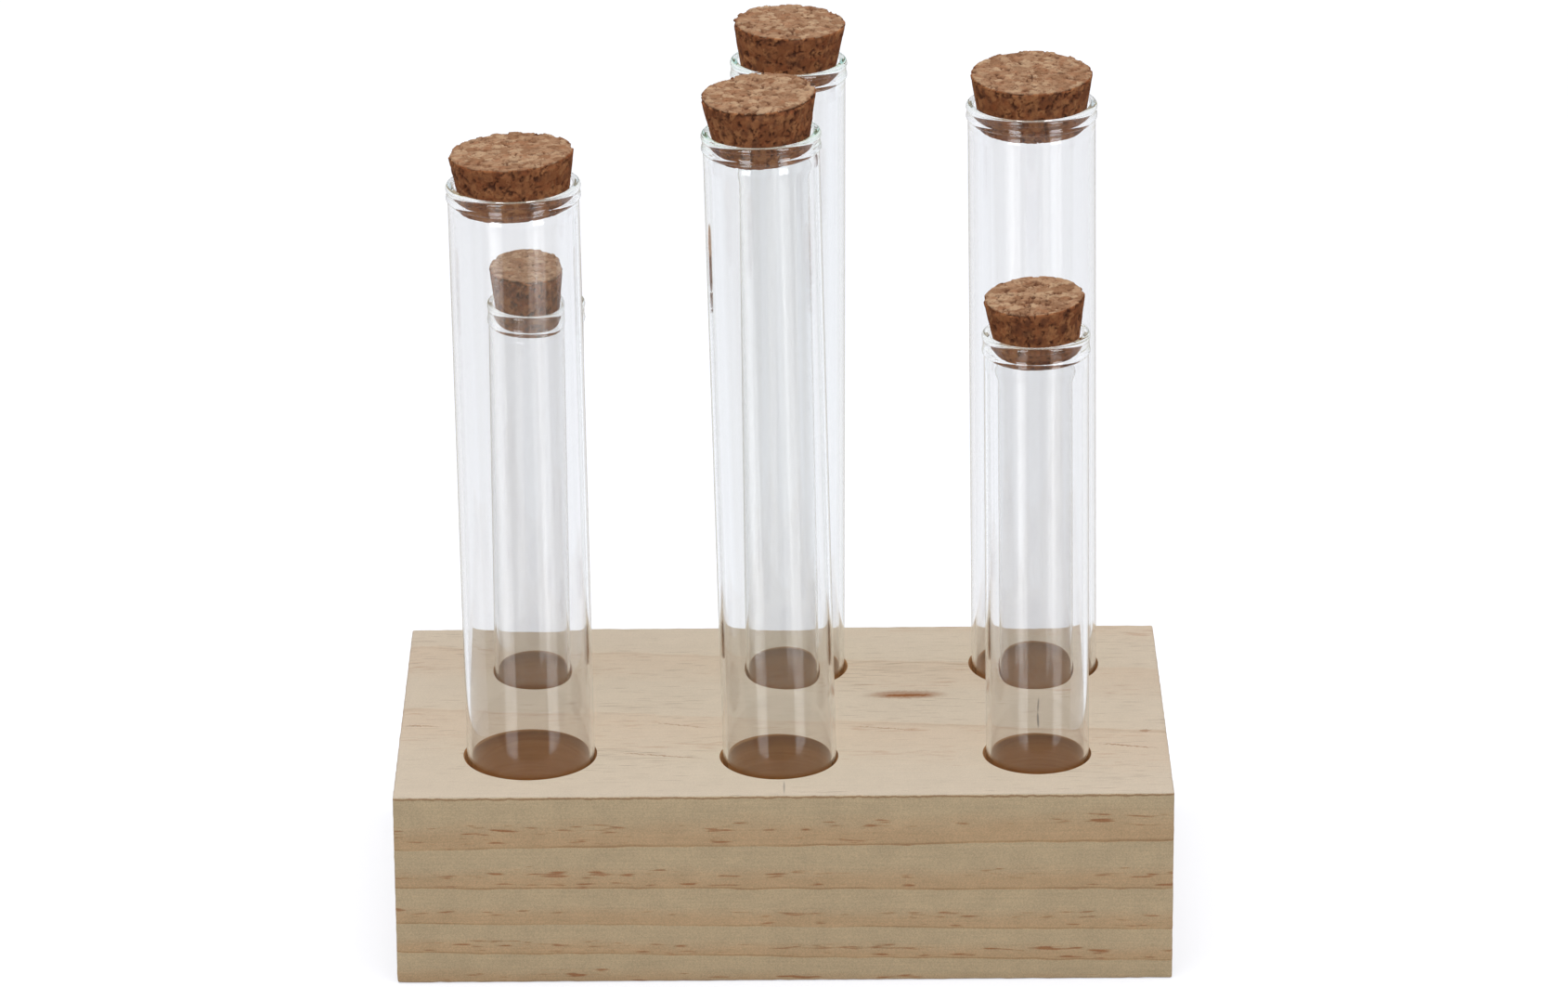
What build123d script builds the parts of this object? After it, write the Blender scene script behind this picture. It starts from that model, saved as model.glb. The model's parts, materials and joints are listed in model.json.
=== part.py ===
from build123d import *
import math
import os

# Test tube vase: a pine block that holds six glass tubes, each closed by a cork.
# Millimetres, +Z up. The origin is the middle of the block's underside.
# +X runs along the block to the right, and the front row is on the -Y side.

# Block
block_length = 190.0
block_depth = 109.0
block_height = 49.6
block_edge_radius = 0.6
end_to_bore = 32.3
side_to_bore = 25.8
column_pitch = (block_length - 2 * end_to_bore) / 2
row_pitch = block_depth - 2 * side_to_bore
bore_depth = 38.0
bore_mouth_chamfer = 0.4

# Glass tubes, in three widths and four lengths
wide_tube = 31.5
medium_tube = 27.9
narrow_tube = 25.3
wide_tube_length = 187.0
tall_tube_length = 199.5
short_tube_length = 147.9
shortest_tube_length = 136.7
glass_wall = 1.15
glass_base = 2.4
outer_heel_radius = 4.0
inner_heel_radius = 3.0

# Rolled lip: two beads with a shallow groove between them
lip_thickness = 2.0
lip_stand_out = 0.45
bead_radius = 0.85
bead_half_turn = 45.0  # degrees that a bead is rounded to each side of its widest line
wide_bead_spacing = 2.3
medium_bead_spacing = 2.9
narrow_bead_spacing = 3.6
lip_flare = 0.6
mouth_edge_radius = 0.6
mouth_taper_height = 2.2

# Cork stoppers: how wide, how tall and how far each stands above its rim
wide_cork = 29.9
medium_cork = 27.4
narrow_cork = 24.3
wide_cork_height = 13.8
medium_cork_height = 15.3
narrow_cork_height = 15.4
wide_cork_stand = 8.0
medium_cork_stand = 9.8
narrow_cork_stand = 9.5
cork_edge = 0.5

# Fits, as the gap on each side
bore_clearance = 0.45
cork_clearance = 0.25
seat_gap = 0.05

# Cutting tools run this far past the face that they cut
overrun = 5.0

# Where the drill really met the wood, off the even grid, as shares of column_pitch
drift_shares = {
    "front_left": (0.010, 0.012),
    "front_centre": (-0.014, -0.024),
    "front_right": (-0.003, -0.010),
    "rear_left": (0.002, -0.014),
    "rear_centre": (0.026, -0.010),
    "rear_right": (0.014, 0.004),
}
# How much of its nominal length each tube kept when it was cut
cut_shares = {
    "front_left": 0.9952,
    "front_centre": 0.9995,
    "front_right": 1.0,
    "rear_left": 1.0,
    "rear_centre": 0.9965,
    "rear_right": 1.0,
}
# Degrees that each bore, with its tube, leans towards -X
lean_degrees = {
    "front_left": 0.62,
    "front_centre": 1.24,
    "front_right": 0.52,
    "rear_left": -0.60,
    "rear_centre": -0.28,
    "rear_right": 0.54,
}
# Degrees that each cork sits askew in its tube: top towards -X, top towards -Y
cork_tip_degrees = {
    "front_left": (2.0, 0.0),
    "front_centre": (2.0, 3.0),
    "front_right": (3.0, 3.5),
    "rear_left": (0.0, 1.0),
    "rear_centre": (-1.0, 1.0),
    "rear_right": (0.0, 3.5),
}

WIDE = (wide_tube, wide_bead_spacing, wide_cork, wide_cork_height, wide_cork_stand)
MEDIUM = (medium_tube, medium_bead_spacing, medium_cork, medium_cork_height, medium_cork_stand)
NARROW = (narrow_tube, narrow_bead_spacing, narrow_cork, narrow_cork_height, narrow_cork_stand)
# Name, column and row on the grid, size of tube and cork, nominal length of tube
places = [
    ("front_left", -1, -1, WIDE, wide_tube_length),
    ("front_centre", 0, -1, MEDIUM, tall_tube_length),
    ("front_right", 1, -1, NARROW, short_tube_length),
    ("rear_left", -1, 1, NARROW, shortest_tube_length),
    ("rear_centre", 0, 1, MEDIUM, tall_tube_length),
    ("rear_right", 1, 1, WIDE, wide_tube_length),
]


def bore_frame(name, column, row):
    """The middle of a bore's mouth on the block's top, with Z along the bore."""
    drift_x, drift_y = (share * column_pitch for share in drift_shares[name])
    middle = (
        column * column_pitch + drift_x,
        row * row_pitch / 2 + drift_y,
        block_height,
    )
    return Location(middle, (0, -lean_degrees[name], 0))


def make_bore(diameter):
    """What the drill takes out, with the broken edge at its mouth."""
    radius = diameter / 2 + bore_clearance
    outline = Polyline(
        (0, -bore_depth),
        (radius, -bore_depth),
        (radius, -bore_mouth_chamfer),
        (radius + bore_mouth_chamfer + overrun, overrun),
        (0, overrun),
        close=True,
    )
    return revolve(Plane.XZ * make_face(outline), Axis.Z)


def make_block():
    blank = Box(
        block_length,
        block_depth,
        block_height,
        align=(Align.CENTER, Align.CENTER, Align.MIN),
    )
    block = fillet(blank.edges(), block_edge_radius)
    for name, column, row, size, _ in places:
        block -= bore_frame(name, column, row) * make_bore(size[0])
    return block


def bead(centre_radius, height, start_degrees, end_degrees):
    """A round of the rolled lip, seen in section, from one angle to the other."""
    def point(degrees):
        angle = math.radians(degrees)
        return (
            centre_radius + bead_radius * math.cos(angle),
            height + bead_radius * math.sin(angle),
        )

    middle = (start_degrees + end_degrees) / 2
    return ThreePointArc(point(start_degrees), point(middle), point(end_degrees))


def make_tube(size, length):
    """A flat-bottomed tube with a rolled lip, standing on the origin."""
    diameter, bead_spacing = size[:2]
    outer = diameter / 2
    inner = outer - glass_wall
    mouth = outer - lip_thickness
    bead_centre = outer + lip_stand_out - bead_radius
    upper_bead = length - bead_radius
    lower_bead = upper_bead - bead_spacing
    straight_up = 90

    heel = RadiusArc(
        (outer - outer_heel_radius, 0), (outer, outer_heel_radius), -outer_heel_radius
    )
    low = bead(bead_centre, lower_bead, -bead_half_turn, bead_half_turn)
    high = bead(bead_centre, upper_bead, -bead_half_turn, straight_up)
    mouth_edge = RadiusArc(
        (mouth + mouth_edge_radius, length),
        (mouth, length - mouth_edge_radius),
        -mouth_edge_radius,
    )
    inner_heel = RadiusArc(
        (inner, glass_base + inner_heel_radius),
        (inner - inner_heel_radius, glass_base),
        inner_heel_radius,
    )
    runs = [
        Line((0, 0), heel @ 0),
        heel,
        Polyline(heel @ 1, (outer, (low @ 0).Y - lip_flare), low @ 0),
        low,
        Line(low @ 1, high @ 0),
        high,
        Line(high @ 1, mouth_edge @ 0),
        mouth_edge,
        Polyline(
            mouth_edge @ 1,
            (mouth, lower_bead),
            (inner, lower_bead - mouth_taper_height),
            inner_heel @ 0,
        ),
        inner_heel,
        Polyline(inner_heel @ 1, (0, glass_base), (0, 0)),
    ]
    return revolve(Plane.XZ * make_face(Curve() + runs), Axis.Z)


def cork_radii(size):
    """Radii at a cork's top, at the rim of its tube and at its lower end."""
    tube, _, cork, height, stand = size
    top = cork / 2
    seat = tube / 2 - lip_thickness - cork_clearance
    slope = (top - seat) / stand
    return top, seat, top - slope * height


def make_cork(size):
    """A tapered stopper whose seat, level with the tube's rim, is at the origin."""
    height, stand = size[-2:]
    top, _, end = cork_radii(size)
    cork = Cone(end, top, height, align=(Align.CENTER, Align.CENTER, Align.MIN))
    return Pos(0, 0, stand - height) * chamfer(cork.edges().filter_by(GeomType.CIRCLE), cork_edge)


def write(shape, node):
    export_step(shape, f"parts/{node}.step")
    print(f"{node}: {shape.volume / 1000:.2f} cm3, {len(shape.solids())} solid")


os.makedirs("parts", exist_ok=True)
write(make_block(), "wood_block")
for name, column, row, size, nominal_length in places:
    length = nominal_length * cut_shares[name]
    bore = bore_frame(name, column, row)
    tube_foot = bore * Pos(0, 0, seat_gap - bore_depth)
    tip_left, tip_front = cork_tip_degrees[name]
    cork_seat = tube_foot * Pos(0, 0, length) * Rotation(tip_front, -tip_left, 0)
    write(tube_foot * make_tube(size, length), "tube_" + name)
    write(cork_seat * make_cork(size), "cork_" + name)
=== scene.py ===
# %% [markdown]
# # A test tube vase, dressed for its picture
# The vase is a block of pine with six glass tubes standing in it, each closed by a cork.
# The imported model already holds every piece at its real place, so this lesson never guesses a
# position: it reads the pieces from the model and builds finer ones around them.
# All lengths are in metres, +Z is up, and the front of the vase faces -Y.

import json
import math

import bmesh
import bpy
import numpy as np
from mathutils import Matrix, Vector, noise

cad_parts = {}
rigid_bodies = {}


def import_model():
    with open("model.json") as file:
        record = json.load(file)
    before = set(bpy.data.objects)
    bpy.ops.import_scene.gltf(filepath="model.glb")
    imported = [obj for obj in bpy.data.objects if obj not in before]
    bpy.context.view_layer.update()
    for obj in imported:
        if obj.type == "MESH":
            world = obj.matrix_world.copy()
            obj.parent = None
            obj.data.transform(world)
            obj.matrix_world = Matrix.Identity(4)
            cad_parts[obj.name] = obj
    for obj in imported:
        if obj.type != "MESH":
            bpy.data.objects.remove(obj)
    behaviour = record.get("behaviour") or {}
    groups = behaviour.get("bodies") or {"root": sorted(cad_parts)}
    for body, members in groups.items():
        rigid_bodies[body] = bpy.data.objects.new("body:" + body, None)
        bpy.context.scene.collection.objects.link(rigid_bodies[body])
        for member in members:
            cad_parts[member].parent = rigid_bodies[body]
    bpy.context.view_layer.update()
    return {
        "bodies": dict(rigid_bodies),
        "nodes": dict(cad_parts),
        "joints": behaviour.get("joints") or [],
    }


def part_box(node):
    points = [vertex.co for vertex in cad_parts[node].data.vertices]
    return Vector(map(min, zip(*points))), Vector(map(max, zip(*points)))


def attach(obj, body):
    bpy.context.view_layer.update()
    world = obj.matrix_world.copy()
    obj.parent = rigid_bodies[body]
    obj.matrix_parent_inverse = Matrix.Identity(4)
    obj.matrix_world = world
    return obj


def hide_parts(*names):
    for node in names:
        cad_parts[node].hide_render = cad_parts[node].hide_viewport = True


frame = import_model()
places = [body[len("tube_"):] for body in frame["bodies"] if body.startswith("tube_")]
print("tubes stand at", places)

# %% [markdown]
# ## The camera
# The picture was taken from in front and a little above with a long lens, which keeps the tubes
# almost parallel. The block's eight corners are enough to work out where such a camera stood.
# A small roll is left in, because the block in the picture isn't quite level.

# %% Set up the camera
camera_place = Vector((0.0006, -1.7022, 0.7581))
camera_down = math.radians(20.93)
camera_roll = math.radians(-0.38)

camera = bpy.data.objects.new("camera", bpy.data.cameras.new("camera"))
camera.data.lens = 169.5
camera.data.sensor_width = 36.0
camera.matrix_world = (
    Matrix.Translation(camera_place)
    @ Matrix.Rotation(math.radians(90) - camera_down, 4, "X")
    @ Matrix.Rotation(camera_roll, 4, "Z")
)
bpy.context.scene.collection.objects.link(camera)
bpy.context.scene.camera = camera
bpy.context.scene.view_settings.view_transform = "Standard"
print("camera looks down by", round(math.degrees(camera_down), 1), "degrees")

# %% [markdown]
# ## Small helpers
# A material is a tree of nodes, and writing one by hand repeats the same three lines many times:
# make a node, set its values, link its inputs. `add` does all three. An input is given either as a
# plain value or as the output of another node.

# %% Helpers for materials
mm = 0.001


def add(tree, kind, settings=None, **inputs):
    """Adds a node. An input's name may hold _ for a space, and its value may be a socket."""
    node = tree.nodes.new("ShaderNode" + kind)
    for name, value in (settings or {}).items():
        setattr(node, name, value)
    for name, value in inputs.items():
        key = int(name[1:]) if name[0] == "i" and name[1:].isdigit() else name.replace("_", " ")
        if isinstance(value, bpy.types.NodeSocket):
            tree.links.new(value, node.inputs[key])
        else:
            node.inputs[key].default_value = value
    return node


def sums(tree, operation, a, b=0.0, c=0.0):
    """A Math node's result."""
    settings = {"operation": operation}
    return add(tree, "Math", settings, i0=a, i1=b, i2=c).outputs[0]


def smooth_step(tree, value, low, high):
    """0 below low and 1 above high, with a soft change between."""
    settings = {"interpolation_type": "SMOOTHSTEP"}
    return add(tree, "MapRange", settings, Value=value, From_Min=low, From_Max=high).outputs[0]


def colours(tree, factor, a, b, blend_type="MIX"):
    """Two colours mixed by a factor."""
    settings = {"data_type": "RGBA", "blend_type": blend_type}
    return add(tree, "Mix", settings, i0=factor, i6=a, i7=b).outputs[2]


def paint(red, green, blue):
    """A colour as a painter reads it off a screen, from 0 to 255, turned into light."""
    def light(level):
        share = level / 255
        return share / 12.92 if share <= 0.04045 else ((share + 0.055) / 1.055) ** 2.4

    return (light(red), light(green), light(blue), 1.0)


def new_material(name):
    """A material with an empty tree and its output node."""
    material = bpy.data.materials.new(name)
    material.use_nodes = True
    material.node_tree.nodes.clear()
    return material, material.node_tree, add(material.node_tree, "OutputMaterial")


# %% Helpers for pieces
def piece_from(bm, name, material):
    """Closes a bmesh into a piece with one material and puts it in the scene."""
    mesh = bpy.data.meshes.new(name)
    bm.to_mesh(mesh)
    bm.free()
    mesh.materials.append(material)
    piece = bpy.data.objects.new(name, mesh)
    bpy.context.scene.collection.objects.link(piece)
    return piece


def points_of(node):
    """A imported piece's own points, each once, as rows."""
    co = np.array([v.co for v in frame["nodes"][node].data.vertices], float)
    return np.unique(co.round(7), axis=0)


# %% [markdown]
# ## The floor and the light
# The vase stands on a pale polished table. The camera should see it plain white, and so should
# light that comes through glass, so the floor glows for those rays only, more so far away, where
# the lamps don't reach. Near the vase its soft shadow stays. In a reflection the table is given a
# little warmer shade than its own, a painted reflection that lays a warm haze over the glass, and
# it mirrors the two tall softboxes that stand left and right of the camera. Those mirrored softboxes
# are what draws the bright upright stripes on the tubes. Light that the inside of a tube sends back
# to the front has been through glass too, so the floor in front tells it apart by its mirror bounces.

# %% The floor
floor_drop = 0.05 * mm
floor_shade = (0.50, 0.50, 0.50, 1)
# The table's shade in reflections only: a painted warm reflection for the glass
floor_painted_reflection_shade = (0.46, 0.41, 0.33, 1)
floor_glow, far_glow = 0.60, 0.28
far_starts, far_ends = 0.4, 2.0
floor_glow_tint = (0.975, 0.997, 1.06, 1)
floor_mirror = 0.17
# Where the floor in front of the vase starts, along Y
front_starts = -0.06
# Light that has bent or bounced this often inside a rim leaks out of it
leak_depth = 9


def ray_kinds(tree):
    """A mask for what the camera sees, straight or through glass, and one for mirrored rays.
    Rays that leak out of glass after many bounces count as seen through it."""
    path = add(tree, "LightPath").outputs
    leaked = sums(tree, "GREATER_THAN", path["Ray Depth"], leak_depth - 0.5)
    leaked = sums(tree, "MULTIPLY", leaked, path["Is Glossy Ray"])
    seen = sums(tree, "MAXIMUM", path["Is Camera Ray"], path["Is Transmission Ray"])
    mirrored = sums(tree, "MULTIPLY", path["Is Glossy Ray"], path["Is Reflection Ray"])
    return sums(tree, "MAXIMUM", seen, leaked), sums(tree, "GREATER_THAN", mirrored, leaked)


floor_material, tree, output = new_material("pale_table")
seen, mirrored = ray_kinds(tree)
path = add(tree, "LightPath").outputs
place_on_floor = add(tree, "TexCoord").outputs["Object"]
spot = add(tree, "SeparateXYZ", Vector=place_on_floor).outputs
sent_back = sums(tree, "MULTIPLY", path["Is Transmission Ray"], path["Glossy Depth"])
not_leaked = sums(tree, "LESS_THAN", path["Ray Depth"], leak_depth)
sent_back = sums(tree, "MULTIPLY", sent_back, not_leaked)
in_front = sums(tree, "LESS_THAN", spot["Y"], front_starts)
sent_back = sums(tree, "MULTIPLY", sent_back, in_front)
sent_back = sums(tree, "GREATER_THAN", sent_back, 0.5)
seen = sums(tree, "GREATER_THAN", seen, sent_back)
mirrored = sums(tree, "MAXIMUM", mirrored, sent_back)
away = add(tree, "VectorMath", {"operation": "LENGTH"}, Vector=place_on_floor).outputs["Value"]
far = smooth_step(tree, away, far_starts, far_ends)
glow = sums(tree, "MULTIPLY", seen, sums(tree, "MULTIPLY_ADD", far, far_glow, floor_glow))
# Reflected rays see the painted reflection shade instead of the table's own
matt_shade = colours(tree, mirrored, floor_shade, floor_painted_reflection_shade)
matt = add(tree, "BsdfDiffuse", Color=matt_shade)
mirror = add(tree, "BsdfGlossy", Color=(1, 1, 1, 1), Roughness=0.02)
polish = sums(tree, "MULTIPLY", mirrored, floor_mirror)
table = add(tree, "MixShader", i0=polish, i1=matt.outputs[0], i2=mirror.outputs[0])
light = add(tree, "Emission", Color=floor_glow_tint, Strength=glow)
both = add(tree, "AddShader", i0=table.outputs[0], i1=light.outputs[0])
tree.links.new(both.outputs[0], output.inputs["Surface"])

bm = bmesh.new()
bmesh.ops.create_circle(bm, cap_ends=True, radius=9.0, segments=96)
bmesh.ops.translate(bm, verts=bm.verts, vec=(0, 0, -floor_drop))
floor = piece_from(bm, "floor", floor_material)
print("floor", [round(side, 1) for side in floor.dimensions], "m")

# %% [markdown]
# A white studio fills in the shadows with even light from all sides. Behind glass it shows white,
# and in reflections it is nearly dark, so that the tubes mirror the softboxes and little else. One
# wide lamp above, a little in front, makes the block's top brighter than its front.

# %% The room around it
room_grey = 0.46
room_in_gloss = 0.12

world = bpy.data.worlds.new("studio")
world.use_nodes = True
world.node_tree.nodes.clear()
tree = world.node_tree
seen, mirrored = ray_kinds(tree)
grey = sums(tree, "MULTIPLY_ADD", mirrored, room_in_gloss - room_grey, room_grey)
room = add(tree, "Background", Color=(1, 1, 1, 1), Strength=grey)
backdrop = add(tree, "Background", Color=(1, 1, 1, 1))
sky = add(tree, "MixShader", i0=seen, i1=room.outputs[0], i2=backdrop.outputs[0])
tree.links.new(sky.outputs[0], add(tree, "OutputWorld").inputs["Surface"])
bpy.context.scene.world = world
print("the room lights everything at", room_grey)

# %% The lamps
softbox_distance = 2.4
softbox_low, softbox_high = math.radians(7), math.radians(58)
# Each softbox, as degrees to the right of the camera's side of the vase
softbox_spans = {"left": (-43.0, -22.0), "right": (35.0, 55.5)}
softbox_light = 7.5

overhead_forward, overhead_high = 0.35, 1.8

overhead = bpy.data.lights.new("overhead", "AREA")
overhead.size = 1.5
overhead.energy = 23.8
lamp = bpy.data.objects.new("overhead", overhead)
lamp.location = (0, -overhead_forward, overhead_high)
lamp.rotation_euler = (-math.atan2(overhead_forward, overhead_high), 0, 0)
lamp.visible_camera = False
lamp.visible_glossy = False
lamp.visible_transmission = False
bpy.context.scene.collection.objects.link(lamp)

softbox_material, tree, output = new_material("softbox_cloth")
cloth = add(tree, "Emission", Color=(1, 1, 1, 1), Strength=softbox_light)
tree.links.new(cloth.outputs[0], output.inputs["Surface"])

for side, span in softbox_spans.items():
    near, far = (math.radians(degrees) for degrees in span)
    middle, half = (near + far) / 2, (far - near) / 2
    low = softbox_distance * math.tan(softbox_low)
    high = softbox_distance * math.tan(softbox_high)
    size = Vector((softbox_distance * math.tan(half), (high - low) / 2, 1))
    bm = bmesh.new()
    bmesh.ops.create_grid(bm, x_segments=1, y_segments=1, size=1.0)
    bmesh.ops.scale(bm, verts=bm.verts, vec=size)
    stand = (
        Matrix.Rotation(middle, 4, "Z")
        @ Matrix.Translation((0, -softbox_distance, (low + high) / 2))
        @ Matrix.Rotation(math.radians(90), 4, "X")
    )
    bmesh.ops.transform(bm, verts=bm.verts, matrix=stand)
    softbox = piece_from(bm, "softbox_" + side, softbox_material)
    softbox.visible_camera = softbox.visible_diffuse = softbox.visible_shadow = False
print("softboxes at", softbox_spans)

# %% [markdown]
# ## Glass
# The tubes are drawn glass with walls a little over a millimetre thick, rolled over at the mouth.
# Glass only looks like glass when light is bent by both faces of a real wall, so each tube is a
# closed solid of revolution, and the shader is plain glass. Its absorption only shows where the
# light runs a long way inside the wall, as it does at the rim. The two tall tubes come from a
# greener melt than the others. Shadow rays pass straight through, which lets daylight reach
# the bore under the tube. So do rays that have been bent or bounced nine times, because light
# that runs round in a rim does leak out in the end and keeps the rim pale.

# %% The glass
# Each face takes off a few percent, as handled and slightly dusty glass does
glass_grey = (0.926, 0.927, 0.931, 1)
glass_shadow = (1.0, 1.0, 0.985, 1)


def glass_material(name, tint, density):
    """Clear glass that takes up a little of the light that runs along inside it."""
    material, tree, output = new_material(name)
    body = add(
        tree,
        "BsdfPrincipled",
        Base_Color=glass_grey,
        Roughness=0.0,
        IOR=1.5,
        Transmission_Weight=1.0,
    )
    clear = add(tree, "BsdfTransparent", Color=glass_shadow)
    path = add(tree, "LightPath").outputs
    straight = sums(tree, "MAXIMUM", path["Is Shadow Ray"], path["Is Diffuse Ray"])
    leaks = sums(tree, "GREATER_THAN", path["Ray Depth"], leak_depth - 0.5)
    straight = sums(tree, "MAXIMUM", straight, leaks)
    surface = add(tree, "MixShader", i0=straight, i1=body.outputs[0], i2=clear.outputs[0])
    depth = add(tree, "VolumeAbsorption", Color=tint, Density=density)
    tree.links.new(surface.outputs[0], output.inputs["Surface"])
    tree.links.new(depth.outputs[0], output.inputs["Volume"])
    return material


white_glass = glass_material("white_glass", (0.50, 0.62, 0.66, 1), 7.0)
green_glass = glass_material("green_glass", (0.28, 0.70, 0.62, 1), 8.0)
tube_glass = {"front_centre": green_glass, "rear_centre": green_glass}
cycles = bpy.context.scene.cycles
cycles.max_bounces = cycles.transmission_bounces = cycles.glossy_bounces = 24
cycles.transparent_max_bounces = 32
print("white glass and green glass are ready")

# %% [markdown]
# ## Where the tubes stand
# No drill goes in quite straight, so each tube leans by its own part of a degree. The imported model
# knows: the slide that lifts a tube out runs along its axis, and the tube's own points give its
# foot, its length, its widest radius and, where they bulge out below the top, its lower bead.

# %% Where each tube stands
near_widest = 0.28 * mm


def upright_to(axis):
    """The turn that takes +Z to an axis."""
    return Vector((0, 0, 1)).rotation_difference(Vector(axis)).to_matrix().to_4x4()


def tube_frame(place):
    """The tube's own frame, with its foot at the origin and Z along it, and three of its sizes:
    its widest radius, its length and the height of its lower bead."""
    node = "tube_" + place
    joint = next(j for j in frame["joints"] if j["child"] == node)
    axis = np.array(Vector(joint["axis"]).normalized())
    points = points_of(node)
    heights = points @ axis
    foot = Vector(points[heights < heights.min() + 0.01 * mm].mean(0))
    offsets = points - np.array(foot)
    along = offsets @ axis
    radii = np.linalg.norm(offsets - np.outer(along, axis), axis=1)
    beads = np.sort(along[radii > radii.max() - near_widest])
    low_bead = beads[: np.diff(beads).argmax() + 1]
    lower = (low_bead[0] + low_bead[-1]) / 2
    return Matrix.Translation(foot) @ upright_to(axis), (radii.max(), along.max(), lower)


for place in places:
    sizes = [round(1000 * float(size), 2) for size in tube_frame(place)[1]]
    print(place, "widest radius, length and lower bead in mm:", sizes)

# %% [markdown]
# ## The tubes
# A tube is turned on a lathe of its own: half of its section is drawn as a line of points, from the
# middle of the underside, up the outside, over the two beads of the lip, down the inside and back
# to the middle of the floor. `spin` then carries that line once around the axis. Long walls get a
# few rows, so that the soft shading at the lip doesn't run down the whole tube. In the picture the
# corks fill the lips well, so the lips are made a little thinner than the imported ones.

# %% The section of a tube
wall = 1.15 * mm
base = 2.4 * mm
outer_heel, inner_heel = 4.0 * mm, 3.0 * mm
lip_thickness, lip_stand_out, lip_flare = 1.6 * mm, 0.45 * mm, 0.6 * mm
bead_radius, bead_foot = 0.85 * mm, 0.1 * mm
mouth_edge, mouth_taper = 0.6 * mm, 5.0 * mm
taper_rows, wall_rows = 10, 24


def arc(centre, radius, start, end, steps):
    """Points on an arc in the section, with its angles in degrees."""
    angles = [math.radians(start + (end - start) * i / steps) for i in range(steps + 1)]
    return [(centre[0] + radius * math.cos(a), centre[1] + radius * math.sin(a)) for a in angles]


def climb(radius, low, high):
    """Points up a straight wall, closest together at its two ends."""
    shares = [(1 - math.cos(math.pi * i / wall_rows)) / 2 for i in range(wall_rows + 1)]
    return [(radius, low + (high - low) * share) for share in shares]


def tube_section(widest, length, lower):
    """The section's points, from the axis at the underside round to the axis inside."""
    outer = widest - lip_stand_out
    inner, mouth = outer - wall, outer - lip_thickness
    upper = length - bead_radius
    ring = widest - bead_radius
    low_bead = arc((ring, lower), bead_radius, -60, 45, 10)
    high_bead = arc((ring, upper), bead_radius, -45, 90, 12)
    section = [(0, 0), (outer / 2, 0)]
    section += arc((outer - outer_heel, outer_heel), outer_heel, -90, 0, 8)
    section += climb(outer, outer_heel + lip_flare, low_bead[0][1] - 2 * bead_foot)
    section += [(outer, low_bead[0][1] - bead_foot)] + low_bead + high_bead
    section += arc((mouth + mouth_edge, length - mouth_edge), mouth_edge, 90, 180, 6)
    section += [(mouth, (upper + lower) / 2)]
    for i in range(taper_rows):
        swell = (1 - math.cos(math.pi * i / taper_rows)) / 2
        section.append((mouth + (inner - mouth) * swell, lower - mouth_taper * i / taper_rows))
    section += climb(inner, lower - mouth_taper, base + inner_heel + lip_flare)
    section += arc((inner - inner_heel, base + inner_heel), inner_heel, 0, -90, 6)
    return section + [(inner / 2, base), (0, base)]


print("a section has", len(tube_section(15 * mm, 180 * mm, 176 * mm)), "points")

# %% Spin the tubes
tube_steps = 144


def spun(section, steps):
    """A closed solid of revolution around Z from a section whose two ends are on the axis."""
    bm = bmesh.new()
    verts = [bm.verts.new((radius, 0, height)) for radius, height in section]
    edges = [bm.edges.new(pair) for pair in zip(verts, verts[1:])]
    bmesh.ops.spin(
        bm,
        geom=verts + edges,
        axis=(0, 0, 1),
        cent=(0, 0, 0),
        angle=math.tau,
        steps=steps,
        use_merge=True,
    )
    bmesh.ops.remove_doubles(bm, verts=bm.verts, dist=0.001 * mm)
    bmesh.ops.recalc_face_normals(bm, faces=bm.faces)
    for face in bm.faces:
        face.smooth = True
    return bm


for place in places:
    stand, sizes = tube_frame(place)
    bm = spun(tube_section(*sizes), tube_steps)
    bmesh.ops.transform(bm, verts=bm.verts, matrix=stand)
    tube = piece_from(bm, "glass_tube_" + place, tube_glass.get(place, white_glass))
    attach(tube, "tube_" + place)
    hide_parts("tube_" + place)
    print(tube.name, len(tube.data.polygons), "faces")

# %% [markdown]
# ## Fine mottle
# Sanded wood and cut cork both show a fine sprinkle of lighter and darker spots, a few tenths of a
# millimetre across, with a slower drift under it. One node group makes it for both, and each
# material sets its own amount. The group also hands out the sprinkle as a height for the bump.

# %% The mottle group
def new_group(name, inputs, outputs):
    """An empty node group with the given sockets, its tree and its two end nodes."""
    group = bpy.data.node_groups.new(name, "ShaderNodeTree")
    for direction, sockets in (("INPUT", inputs), ("OUTPUT", outputs)):
        for socket, kind in sockets.items():
            group.interface.new_socket(socket, in_out=direction, socket_type="NodeSocket" + kind)
    return group, group.nodes.new("NodeGroupInput").outputs, group.nodes.new("NodeGroupOutput").inputs


def use_group(tree, group, **inputs):
    """Places a node group in a material."""
    node = add(tree, "Group")
    node.node_tree = group
    for name, value in inputs.items():
        if isinstance(value, bpy.types.NodeSocket):
            tree.links.new(value, node.inputs[name])
        else:
            node.inputs[name].default_value = value
    return node.outputs


mottle, inside, outside = new_group(
    "fine_mottle",
    {"Vector": "Vector", "Color": "Color", "Amount": "Float"},
    {"Color": "Color", "Height": "Float"},
)
fine = add(mottle, "TexNoise", Vector=inside["Vector"], Scale=3.2, Detail=3.0, Roughness=0.65)
slow = add(mottle, "TexNoise", Vector=inside["Vector"], Scale=0.16, Detail=2.0)
spots = sums(mottle, "MULTIPLY_ADD", slow.outputs[0], 0.3, fine.outputs[0])
change = sums(mottle, "MULTIPLY", sums(mottle, "SUBTRACT", spots, 0.65), inside["Amount"])
factor = sums(mottle, "ADD", change, 1.0)
grey = add(mottle, "CombineColor", Red=factor, Green=factor, Blue=factor)
mottled = colours(mottle, 1.0, inside["Color"], grey.outputs[0], "MULTIPLY")
mottle.links.new(mottled, outside["Color"])
mottle.links.new(fine.outputs[0], outside["Height"])
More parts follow.
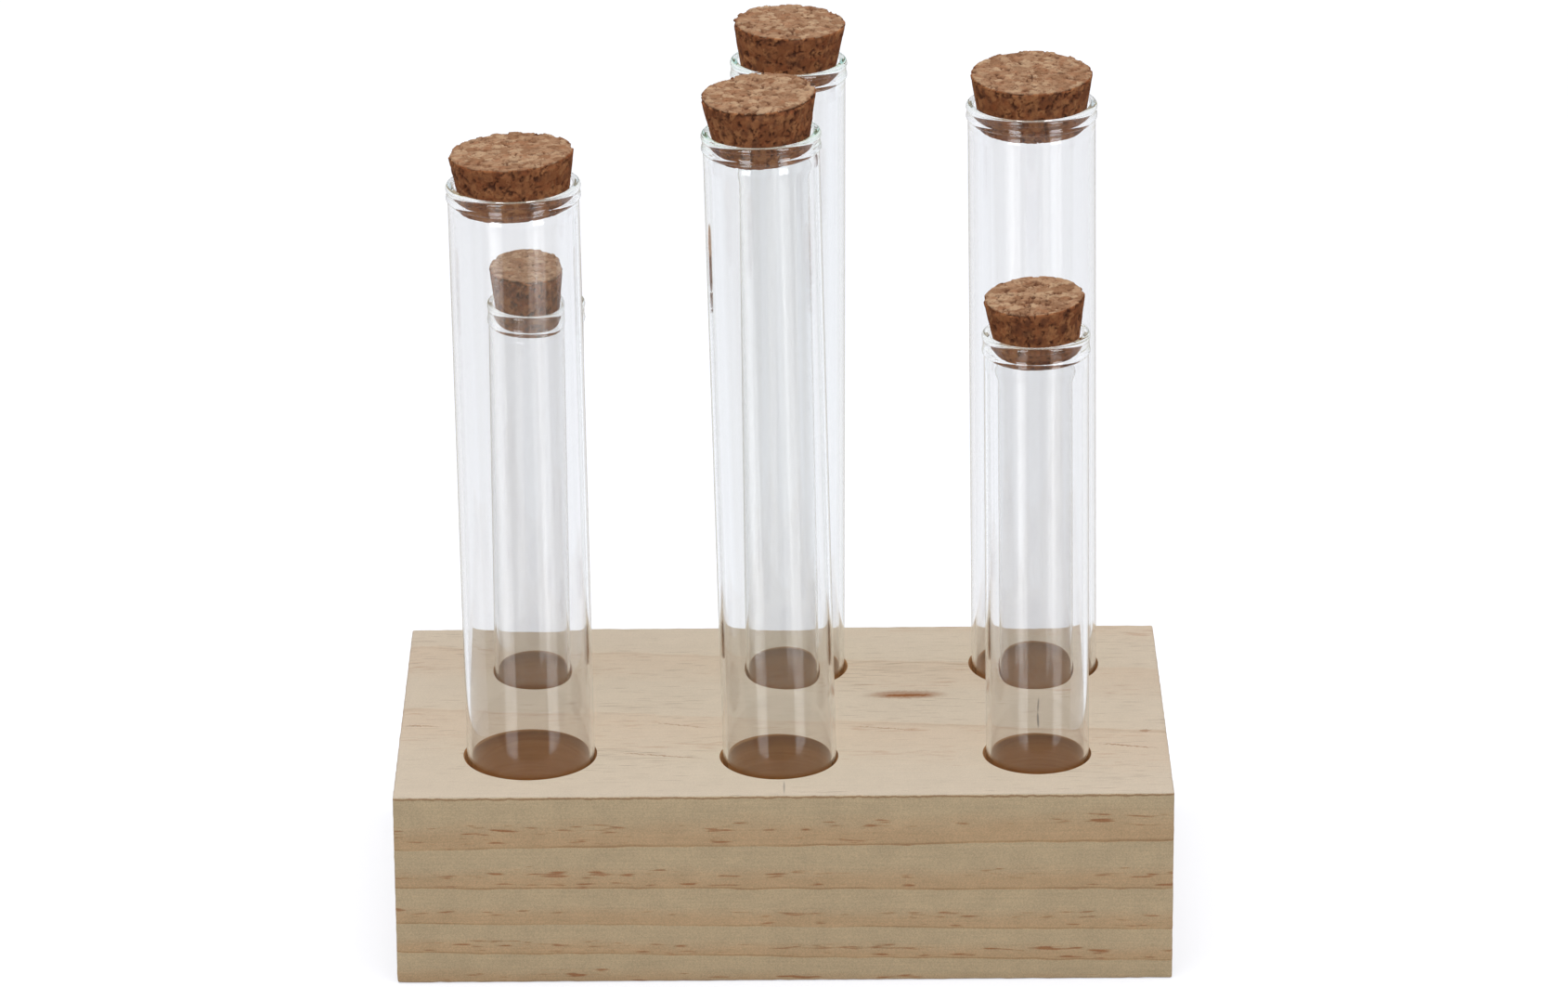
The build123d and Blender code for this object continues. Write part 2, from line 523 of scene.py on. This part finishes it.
print("mottle group has", len(mottle.nodes), "nodes")

# %% [markdown]
# ## Pine
# The block is a plank of pine, sawn so that the growth rings run along it. On the front they show
# as level bands: each begins with a crisp brown line and fades upward through a pinkish zone, and
# short brown dashes, the resin ducts that the saw cut open, lie near the line and a third of the
# way up. The top cuts the same rings at a slant, so there they are wide and faint. One number, the
# depth within the stack of rings, drives both faces, and that is why the figure meets at the edge
# as it does in a real plank.

# %% The growth rings
ring_lines = (-34.0, -26.0, -17.5, -9.0, -1.5, 6.64, 14.61, 24.77, 36.13, 52.0)
ring_slant = 0.2825
ring_drop, ring_bow = 0.018, 0.000018
block_low, block_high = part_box("wood_block")

figure, inside, outside = new_group(
    "pine_figure", {"Vector": "Vector"}, {"Phase": "Float", "Line": "Float", "Dashes": "Float"}
)
split = add(figure, "SeparateXYZ", Vector=inside["Vector"]).outputs
x, y, z = split["X"], split["Y"], split["Z"]


def noise_at(tree, vector, scale, detail=2.0, shift=0.0):
    """Noise between 0 and 1 whose spots are stretched by a scale per axis."""
    moved = add(tree, "Mapping", Vector=vector, Scale=scale, Location=(shift, shift, shift))
    return add(tree, "TexNoise", Vector=moved.outputs[0], Scale=1.0, Detail=detail).outputs[0]


def centred(tree, value, reach):
    """Noise turned into a shift of up to about reach to each side."""
    return sums(tree, "MULTIPLY", sums(tree, "SUBTRACT", value, 0.5), 2 * reach)


# A point's depth within the rings is its height, less what their slant takes off towards the rear,
# with a slow drop along the plank and two waves
front_slant = sums(figure, "MULTIPLY", sums(figure, "ADD", y, -block_low.y / mm), ring_slant)
along = sums(figure, "MULTIPLY_ADD", sums(figure, "MULTIPLY", z, z), -ring_bow, ring_drop)
slow_wave = centred(figure, noise_at(figure, inside["Vector"], (0.016, 0.04, 0.04)), 0.7)
fine_wave = centred(figure, noise_at(figure, inside["Vector"], (0.12, 0.5, 0.5), 3.0), 0.45)
depth = sums(figure, "SUBTRACT", z, front_slant)
depth = sums(figure, "ADD", depth, sums(figure, "MULTIPLY", x, along))
depth = sums(figure, "ADD", depth, sums(figure, "ADD", slow_wave, fine_wave))

stack_low, stack_high = ring_lines[0], ring_lines[-1]
# The phase climbs from 0 at a ring's line to 1 just below the next line
from_low = sums(figure, "SUBTRACT", depth, stack_low)
saw = add(figure, "ValToRGB", Fac=sums(figure, "DIVIDE", from_low, stack_high - stack_low))
ramp = saw.color_ramp
ramp.elements[0].color = (0, 0, 0, 1)
ramp.elements[1].color = (1, 1, 1, 1)
step_width = 0.0012
for line in ring_lines[1:-1]:
    share = (line - stack_low) / (stack_high - stack_low)
    ramp.elements.new(share - step_width).color = (1, 1, 1, 1)
    ramp.elements.new(share).color = (0, 0, 0, 1)
phase = saw.outputs[0]

line_wear = noise_at(figure, inside["Vector"], (0.03, 0.1, 0.1), 2.0, 40.0)
line = sums(figure, "SUBTRACT", 1.0, smooth_step(figure, phase, 0.01, 0.05))
line = sums(figure, "MULTIPLY", line, smooth_step(figure, line_wear, 0.32, 0.58))
duct = noise_at(figure, inside["Vector"], (0.15, 1.3, 1.3), 1.5, 7.0)
duct_patches = noise_at(figure, inside["Vector"], (0.045, 0.12, 0.12), 1.0, 90.0)
dashes = sums(figure, "MULTIPLY_ADD", duct_patches, 0.35, duct)
# The ducts lie in two rows of each ring, one near its line and a fuller one a third of the way up
to_row = sums(figure, "ABSOLUTE", sums(figure, "SUBTRACT", phase, 0.34))
to_line = sums(figure, "ABSOLUTE", sums(figure, "SUBTRACT", phase, 0.09))
nearest = sums(figure, "MINIMUM", to_row, sums(figure, "MULTIPLY_ADD", to_line, 1.4, 0.04))
dashes = sums(figure, "SUBTRACT", dashes, sums(figure, "MULTIPLY", nearest, 1.1))
dashes = smooth_step(figure, dashes, 0.69, 0.86)
ragged = centred(figure, noise_at(figure, inside["Vector"], (0.07, 0.35, 0.35), 3.0, 60.0), 0.16)
phase = sums(figure, "ADD", phase, ragged)
figure.links.new(phase, outside["Phase"])
figure.links.new(line, outside["Line"])
figure.links.new(dashes, outside["Dashes"])
print("rings at", ring_lines[5:-1], "mm up the front")

# %% [markdown]
# The top has marks of its own: a lens of resin, pencil marks as if from setting out the bores, and
# a few thin dark streaks along the grain. Each is a soft-edged ellipse, made by a spherical
# gradient in a Mapping node that is moved to the mark, turned along it and scaled to its size.

# %% Pine for the planed faces
pine_light = paint(212, 189, 153)
pine_late = paint(210, 176, 136)
pine_line = paint(178, 138, 98)
pine_dash = paint(178, 124, 84)
pine_edge = paint(160, 116, 78)
pine_hairline = paint(142, 114, 94)
resin_brown = paint(146, 93, 54)
pencil_grey = paint(110, 104, 100)
pine_top_tint = (0.97, 1.055, 1.33, 1)
top_z = block_high.z / mm
# Marks on the top, in millimetres: from x, y to x, y, width, strength
resin_marks = (
    (19.4, 9.6, 44.0, 9.9, 6.8, 0.58),
    (22.6, 9.2, 41.4, 9.5, 2.6, 1.00),
    (-42.8, -25.9, -15.3, -31.0, 0.7, 0.56),
    (-35.1, -6.4, -15.4, -11.6, 0.6, 0.46),
    (-94.6, -7.8, -83.5, -9.2, 0.7, 0.56),
    (14.5, -9.7, 36.4, -13.7, 0.7, 0.46),
    (70.6, -21.4, 78.5, -22.3, 0.7, 0.56),
    (76.5, -22.0, 94.7, -25.9, 0.9, 0.60),
    (88.6, -14.8, 92.2, -14.4, 1.8, 0.50),
)
pencil_marks = (
    (0.15, -45.2, 0.15, -54.4, 0.6, 0.50),
    (64.2, 8.0, 63.4, -4.0, 0.7, 0.66),
    (63.5, -1.0, 63.3, -14.0, 0.8, 0.76),
)


def marks(tree, vector, rows):
    """A mask for soft ellipses on the top face."""
    mask = 0.0
    for x0, y0, x1, y1, width, strength in rows:
        spot = add(
            tree,
            "Mapping",
            {"vector_type": "TEXTURE"},
            Vector=vector,
            Location=((x0 + x1) / 2, (y0 + y1) / 2, top_z),
            Rotation=(0, 0, math.atan2(y1 - y0, x1 - x0)),
            Scale=(math.hypot(x1 - x0, y1 - y0) / 2, width / 2, 3.0),
        )
        lens = add(tree, "TexGradient", {"gradient_type": "SPHERICAL"}, Vector=spot.outputs[0])
        soft = smooth_step(tree, lens.outputs["Fac"], 0.0, 0.55)
        mask = sums(tree, "MAXIMUM", sums(tree, "MULTIPLY", soft, strength), mask)
    return mask


def in_millimetres(tree):
    """The point being shaded, in the vase's own frame, in millimetres."""
    place = add(tree, "TexCoord").outputs["Object"]
    scaled = add(tree, "VectorMath", {"operation": "SCALE"}, Vector=place, Scale=1 / mm)
    return scaled.outputs[0]


def matt_surface(tree, output, dusted, bump_strength, bump_depth, **values):
    """Ends a material with a matt shader that has the mottle's colour and its bumps."""
    height = dusted["Height"]
    bumps = add(tree, "Bump", Strength=bump_strength, Distance=bump_depth, Height=height)
    shader = add(
        tree,
        "BsdfPrincipled",
        Base_Color=dusted["Color"],
        Normal=bumps.outputs[0],
        **values,
    )
    tree.links.new(shader.outputs[0], output.inputs["Surface"])


pine, tree, output = new_material("pine_wood")
point = in_millimetres(tree)
here = add(tree, "SeparateXYZ", Vector=point).outputs
grain = use_group(tree, figure, Vector=point)
on_top = smooth_step(tree, here["Z"], top_z - 0.5, top_z - 0.2)
# The pinkish zone, the lines and the dashes of the rings are all fainter on the top
late = sums(tree, "SUBTRACT", 0.9, smooth_step(tree, grain["Phase"], 0.10, 0.66))
late = sums(tree, "MULTIPLY", late, sums(tree, "MULTIPLY_ADD", on_top, -0.65, 1.0))
shade = colours(tree, late, pine_light, pine_late)
line_strength = sums(tree, "MULTIPLY_ADD", on_top, -0.5, 0.8)
shade = colours(tree, sums(tree, "MULTIPLY", grain["Line"], line_strength), shade, pine_line)
dash_strength = sums(tree, "MULTIPLY_ADD", on_top, -0.6, 0.95)
shade = colours(tree, sums(tree, "MULTIPLY", grain["Dashes"], dash_strength), shade, pine_dash)
# A thin, ragged brown line runs just under the upper edge
rough_edge = centred(tree, noise_at(tree, point, (0.5, 0.5, 0.5), 3.0, 23.0), 0.5)
under_edge = sums(tree, "ADD", rough_edge, sums(tree, "SUBTRACT", here["Z"], top_z - 0.75))
under_edge = smooth_step(tree, sums(tree, "ABSOLUTE", under_edge), 0.38, 0.10)
shade = colours(tree, sums(tree, "MULTIPLY", under_edge, 0.7), shade, pine_edge)
# Long fine fibres, mostly on the sawn sides, and the paler, cooler tone of the top
fibre_share = sums(tree, "MULTIPLY_ADD", on_top, -0.6, 1.0)
fibres = centred(tree, noise_at(tree, point, (0.05, 2.0, 2.0), 3.0, 3.0), 0.12)
fibres = sums(tree, "ADD", sums(tree, "MULTIPLY", fibres, fibre_share), 1.0)
fibre_grey = add(tree, "CombineColor", Red=fibres, Green=fibres, Blue=fibres).outputs[0]
shade = colours(tree, 1.0, shade, fibre_grey, "MULTIPLY")
shade = colours(tree, on_top, shade, colours(tree, 1.0, shade, pine_top_tint, "MULTIPLY"))
# The resin marks get a shaken outline
shake = add(tree, "TexNoise", Vector=point, Scale=0.8, Detail=4.0, Roughness=0.7).outputs["Color"]
settings = {"operation": "MULTIPLY_ADD"}
shaken = add(tree, "VectorMath", settings, i0=shake, i1=(1.6, 2.4, 0), i2=point).outputs[0]
# Thin dark hairlines run across the top in a few patches, nearly along the grain
hairlines = add(tree, "Mapping", Vector=point, Rotation=(0, 0, 0.14), Scale=(0.11, 2.6, 0.2))
hairlines = add(tree, "TexNoise", Vector=hairlines.outputs[0], Scale=1.0, Detail=1.0).outputs[0]
crowded = noise_at(tree, point, (0.02, 0.05, 0.05), 1.0, 33.0)
hairlines = sums(tree, "MULTIPLY_ADD", crowded, 0.3, hairlines)
hairlines = sums(tree, "MULTIPLY", smooth_step(tree, hairlines, 0.80, 0.90), on_top)
shade = colours(tree, sums(tree, "MULTIPLY", hairlines, 0.55), shade, pine_hairline)
shade = colours(tree, marks(tree, shaken, resin_marks), shade, resin_brown)
shade = colours(tree, marks(tree, point, pencil_marks), shade, pencil_grey)
dust = sums(tree, "MULTIPLY_ADD", on_top, -0.4, 0.75)
dusted = use_group(tree, mottle, Vector=point, Color=shade, Amount=dust)
gloss = {"Roughness": 0.66, "IOR": 1.45, "Specular_IOR_Level": 0.3}
matt_surface(tree, output, dusted, 0.35, 0.06 * mm, **gloss)
print("pine has", len(tree.nodes), "nodes")

# %% [markdown]
# A drill cuts across the fibres and leaves them rough, so the wood in the bores is browner than
# outside, and its browns are also darkened as painted shade for the inside of the bores. A painted
# shade makes it darkest just under the mouth, in the narrow crack around the tube, where little
# daylight gets in.

# %% Pine inside the bores
# The bore's browns are darker than the pine's, partly cut end grain and partly painted shade
bore_brown_and_painted_shade = paint(196, 142, 88)
bore_dark_and_painted_shade = paint(156, 104, 58)
# Painted shade for the narrow crack around the tube, just under the mouth, and how far down it
# reaches in millimetres
bore_mouth_painted_shade = paint(124, 88, 60)
mouth_painted_shade_depth = 4.0

bored_pine, tree, output = new_material("bored_pine")
point = in_millimetres(tree)
grain = use_group(tree, figure, Vector=point)
rings = noise_at(tree, point, (0.05, 0.05, 1.4), 3.0, 11.0)
shade = colours(tree, sums(tree, "MULTIPLY", rings, 0.8), bore_brown_and_painted_shade, bore_dark_and_painted_shade)
shade = colours(tree, sums(tree, "MULTIPLY", grain["Line"], 0.5), shade, bore_dark_and_painted_shade)
height = add(tree, "SeparateXYZ", Vector=point).outputs["Z"]
# Painted shade, strongest just under the mouth
mouth_painted_shade_mask = smooth_step(tree, height, top_z - mouth_painted_shade_depth, top_z - 0.5)
shade = colours(tree, sums(tree, "MULTIPLY", mouth_painted_shade_mask, 0.6), shade, bore_mouth_painted_shade)
dusted = use_group(tree, mottle, Vector=point, Color=shade, Amount=0.25)
gloss = {"Roughness": 0.8, "IOR": 1.45, "Specular_IOR_Level": 0.2}
matt_surface(tree, output, dusted, 0.4, 0.12 * mm, **gloss)
print("bored pine has", len(tree.nodes), "nodes")

# %% [markdown]
# ## The block
# The plank is cut to size and its edges are eased with a few strokes of sandpaper, which never
# leaves them quite even. So the box is bevelled, its long edges are divided, and only the rounded
# strips are pushed in a little by noise. Then six drills come down, as one Boolean: each cutter is
# spun like the tubes, with a small flare that breaks the edge of the bore's mouth.

# %% The blank
edge_round = 0.6 * mm
edge_segments = 5
edge_spacing = 2.0 * mm
edge_wear = 0.16 * mm

size = block_high - block_low
bm = bmesh.new()
bmesh.ops.create_cube(bm, size=1.0)
bmesh.ops.scale(bm, verts=bm.verts, vec=size)
bmesh.ops.translate(bm, verts=bm.verts, vec=(block_low + block_high) / 2)
bmesh.ops.bevel(
    bm,
    geom=bm.verts[:] + bm.edges[:],
    offset=edge_round,
    offset_type="OFFSET",
    segments=edge_segments,
    profile=0.5,
    affect="EDGES",
    material=-1,
)
for axis in range(3):
    direction = Vector([float(axis == i) for i in range(3)])
    edges = [
        edge
        for edge in bm.edges
        if abs((edge.verts[1].co - edge.verts[0].co).dot(direction)) > 0.5 * size[axis]
    ]
    bmesh.ops.subdivide_edges(bm, edges=edges, cuts=int(size[axis] / edge_spacing))
bm.normal_update()
for vert in bm.verts:
    if max(abs(c) for c in vert.normal) < 0.999:
        place_mm = vert.co / mm
        wear = noise.noise(place_mm * 0.45) + 0.6 * noise.noise(place_mm * 1.7)
        vert.co -= vert.normal * edge_wear * min(1.0, max(0.0, 0.45 + 0.6 * wear))
for face in bm.faces:
    face.smooth = max(abs(c) for c in face.normal) < 0.9999
blank = piece_from(bm, "pine_block", pine)
blank.data.materials.append(bored_pine)
print("blank", [round(side / mm, 1) for side in blank.dimensions], "mm")

# %% The six drills
bore_clearance, seat_gap = 0.45 * mm, 0.05 * mm
mouth_break = 0.4 * mm
overrun = 4.0 * mm
bore_steps = 96

drills = bmesh.new()
for place in places:
    stand, sizes = tube_frame(place)
    axis_z = stand.col[2].z
    mouth_height = (block_high.z - stand.translation.z) / axis_z
    radius = sizes[0] - lip_stand_out + bore_clearance
    section = [(0, -seat_gap), (radius, -seat_gap), (radius, mouth_height - 3 * mouth_break)]
    section += arc((radius + mouth_break, mouth_height - mouth_break), mouth_break, 180, 90, 5)
    section += [(radius + mouth_break, mouth_height + overrun), (0, mouth_height + overrun)]
    drill = spun(section, bore_steps)
    bmesh.ops.transform(drill, verts=drill.verts, matrix=stand)
    shape = bpy.data.meshes.new("drill_" + place)
    drill.to_mesh(shape)
    drill.free()
    drills.from_mesh(shape)
    bpy.data.meshes.remove(shape)
for face in drills.faces:
    face.material_index = 1
cutter = piece_from(drills, "drills", pine)
cutter.data.materials.append(bored_pine)

boolean = blank.modifiers.new("bores", "BOOLEAN")
boolean.object = cutter
boolean.operation = "DIFFERENCE"
boolean.solver = "EXACT"
bpy.context.view_layer.update()
drilled = blank.evaluated_get(bpy.context.evaluated_depsgraph_get())
bored_mesh = bpy.data.meshes.new_from_object(drilled)
blank.modifiers.clear()
blank.data = bored_mesh
bpy.data.objects.remove(cutter)
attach(blank, "wood_block")
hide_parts("wood_block")
print("the bored block has", len(bored_mesh.polygons), "faces")

# %% [markdown]
# ## Cork
# The stoppers are cut from pressed cork: granules of one to three millimetres glued together, with
# dark seams between them, small pits and slits where bark broke out, and a rim that crumbles. All
# of that is modelled, not painted: the stopper is spun with rows a third of a millimetre apart, and
# every point is pushed inwards by what a cell noise finds there. The same numbers are kept on the
# points as colour, so that seams and pits are dark exactly where they are deep.

# %% The cork's surface
granule_size = 2.3
seam_depth, granule_depth = 0.07 * mm, 0.12 * mm
pit_spacing, pit_share, pit_depth = 2.6, 0.4, 0.6 * mm
chip_depth, chip_reach = 0.55 * mm, 1.1 * mm
# How much a cork's rim has crumbled
crumbled = {"front_centre": 1.6, "rear_left": 1.4, "front_right": 1.1}
# Vector noise starts from a seed, which is set so that every run cuts the same corks
cork_seed = 4
noise.seed_set(cork_seed)


def ease(value, low, high):
    """0 below low and 1 above high, with a soft change between."""
    share = min(1.0, max(0.0, (value - low) / (high - low)))
    return share * share * (3 - 2 * share)


def draw_lot(point, shift):
    """A fixed random number between 0 and 1 for a cell's middle."""
    return abs(math.modf(math.sin(point.dot(Vector((12.99, 78.23, 37.72))) + shift) * 43758.5)[0])


def cork_surface(point, to_rim, wear):
    """How deep a point lies, and its granule's tone, seam and pit. Lengths in millimetres."""
    # The cells are bent by a slow and a fine noise, since no granule is a neat cell
    bent = point + noise.noise_vector(point * 0.8) * 0.6 + noise.noise_vector(point * 2.6) * 0.25
    distances, middles = noise.voronoi(bent / granule_size)
    granule = draw_lot(middles[0], 0.0)
    seam = 1 - ease(distances[1] - distances[0], 0.0, 0.14)
    sunk = draw_lot(middles[0], 5.0)
    # A share of the cells of a second, coarser net are pits, each as wide as its own lot says
    gaps, holes = noise.voronoi(bent / pit_spacing + Vector((31.0, 7.0, 3.0)))
    lot = draw_lot(holes[0], 9.0)
    ragged = gaps[0] + 0.20 * noise.noise(point * 1.9)
    reach = 0.14 + 0.28 * draw_lot(holes[0], 13.0)
    pit = 1 - ease(ragged, 0.65 * reach, reach) if lot > 1 - pit_share else 0.0
    # Slits run where a slow noise changes its sign, in the patches that a second one picks
    split = abs(noise.noise(point * 0.8 + Vector((17.0, 5.0, 9.0))))
    crowd = noise.noise(point * 0.6 + Vector((3.0, 29.0, 8.0)))
    slit = (1 - ease(split, 0.06, 0.16)) * ease(crowd, 0.12, 0.24)
    pit = max(pit, slit)
    chip = (1 - ease(to_rim, 0.0, chip_reach / mm * (0.5 + sunk))) * ease(sunk, 0.45, 0.75) * wear
    depth = seam * seam_depth + sunk * granule_depth + pit * pit_depth + chip * chip_depth
    return depth, (granule, seam, max(pit, 0.4 * chip), 1.0)


print("granules are about", granule_size, "mm across")

# %% [markdown]
# Every granule has its own shade of tan, some patches run to red, and dark specks are scattered
# through it. The sides of a stopper were ground to their taper, which leaves them darker than the
# top, with more stains.

# %% The cork's colour
cork_dark = paint(146, 107, 78)
cork_mid = paint(168, 131, 101)
cork_light = paint(185, 152, 121)
cork_red = paint(162, 113, 81)
cork_speck = paint(120, 78, 54)
cork_pit = paint(88, 48, 31)
cork_side_tint = (0.92, 0.59, 0.38, 1)

cork, tree, output = new_material("agglomerate_cork")
kept = add(tree, "Attribute", {"attribute_name": "granules"}).outputs["Color"]
tone, seam, pit = add(tree, "SeparateColor", Color=kept).outputs
skin = add(tree, "Attribute", {"attribute_name": "side"}).outputs["Fac"]
point = in_millimetres(tree)
shade = colours(tree, smooth_step(tree, tone, 0.05, 0.45), cork_dark, cork_mid)
shade = colours(tree, smooth_step(tree, tone, 0.5, 0.85), shade, cork_light)
patches = smooth_step(tree, noise_at(tree, point, (0.34, 0.34, 0.34), 3.0, 51.0), 0.50, 0.66)
shade = colours(tree, sums(tree, "MULTIPLY", patches, 0.6), shade, cork_red)
specks = smooth_step(tree, noise_at(tree, point, (0.9, 0.9, 0.9), 3.0, 17.0), 0.56, 0.68)
shade = colours(tree, sums(tree, "MULTIPLY", specks, 0.6), shade, cork_speck)
shade = colours(tree, skin, shade, colours(tree, 1.0, shade, cork_side_tint, "MULTIPLY"))
stain = smooth_step(tree, noise_at(tree, point, (0.55, 0.55, 0.40), 4.0, 71.0), 0.50, 0.68)
stain = sums(tree, "MULTIPLY", stain, sums(tree, "MULTIPLY_ADD", skin, 0.50, 0.10))
shade = colours(tree, stain, shade, cork_pit)
shade = colours(tree, sums(tree, "MULTIPLY", seam, 0.20), shade, cork_pit)
shade = colours(tree, sums(tree, "MULTIPLY", pit, 0.85), shade, cork_pit)
dusted = use_group(tree, mottle, Vector=point, Color=shade, Amount=0.75)
gloss = {"Roughness": 0.85, "IOR": 1.4, "Specular_IOR_Level": 0.25}
matt_surface(tree, output, dusted, 0.5, 0.15 * mm, **gloss)
print("cork has", len(tree.nodes), "nodes")

# %% [markdown]
# A stopper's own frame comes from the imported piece: its points lie in a few level circles, and the
# direction in which they spread least is its axis. The circles, a little wider, give the outline,
# which is spun, pushed in by the surface above, and turned back into its place.

# %% Shape the corks
# A real cork is pressed into its tube, so it is a little wider than the solid that slides freely
foot_swell, top_swell = 0.45 * mm, 0.2 * mm
cork_steps = 288
cork_row, hidden_row = 0.33 * mm, 1.2 * mm
# Each cork is cut from another place of the same pressed cork, so many millimetres further on
between_corks = 41.0


def cork_frame(place):
    """The cork's own frame and its section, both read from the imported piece's points."""
    points = points_of("cork_" + place)
    middle = points.mean(0)
    # A stopper is wider than it is tall, so the points spread least along its axis
    axis = np.linalg.svd(points - middle)[2][2]
    axis *= math.copysign(1, axis[2])
    heights = (points - middle) @ axis
    order = heights.argsort()
    breaks = np.where(np.diff(heights[order]) > 0.1 * mm)[0] + 1
    levels = [points[rows] for rows in np.split(order, breaks)]
    foot = levels[0].mean(0)
    section = []
    for level in levels:
        centre = level.mean(0)
        radius = np.linalg.norm(level - centre, axis=1).mean()
        section.append((radius, (centre - foot) @ axis))
    tall = section[-1][1]
    swells = [foot_swell + (top_swell - foot_swell) * height / tall for _, height in section]
    section = [(radius + swell, height) for (radius, height), swell in zip(section, swells)]
    return Matrix.Translation(Vector(foot)) @ upright_to(axis), section


def in_rows(start, end, spacing):
    """Points from start up to, but not at, end."""
    steps = max(1, math.ceil(math.dist(start, end) / spacing))
    return [
        tuple(a + (b - a) * i / steps for a, b in zip(start, end)) for i in range(steps)
    ]


for number, place in enumerate(places):
    stand, levels = cork_frame(place)
    corners = [(0.0, levels[0][1])] + levels + [(0.0, levels[-1][1])]
    section = []
    for i, (start, end) in enumerate(zip(corners, corners[1:])):
        section += in_rows(start, end, hidden_row if i == 0 else cork_row)
    bm = spun(section + [corners[-1]], cork_steps)
    bm.normal_update()
    kept = bm.verts.layers.float_color.new("granules")
    side = bm.verts.layers.float.new("side")
    rim_radius, rim_height = levels[-2]
    wear = crumbled.get(place, 1.0)
    own = Vector((0, 0, between_corks * number))
    moves = []
    for vert in bm.verts:
        across = math.hypot(vert.co.x, vert.co.y)
        to_rim = math.hypot(across - rim_radius, vert.co.z - rim_height)
        depth, vert[kept] = cork_surface(vert.co / mm + own, to_rim / mm, wear)
        vert[side] = float(vert.co.z < levels[-1][1] - 0.01 * mm)
        moves.append(vert.normal * depth)
    for vert, move in zip(bm.verts, moves):
        vert.co -= move
    bmesh.ops.transform(bm, verts=bm.verts, matrix=stand)
    piece = piece_from(bm, "cork_stopper_" + place, cork)
    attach(piece, "cork_" + place)
    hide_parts("cork_" + place)
    print(piece.name, len(piece.data.polygons), "faces")
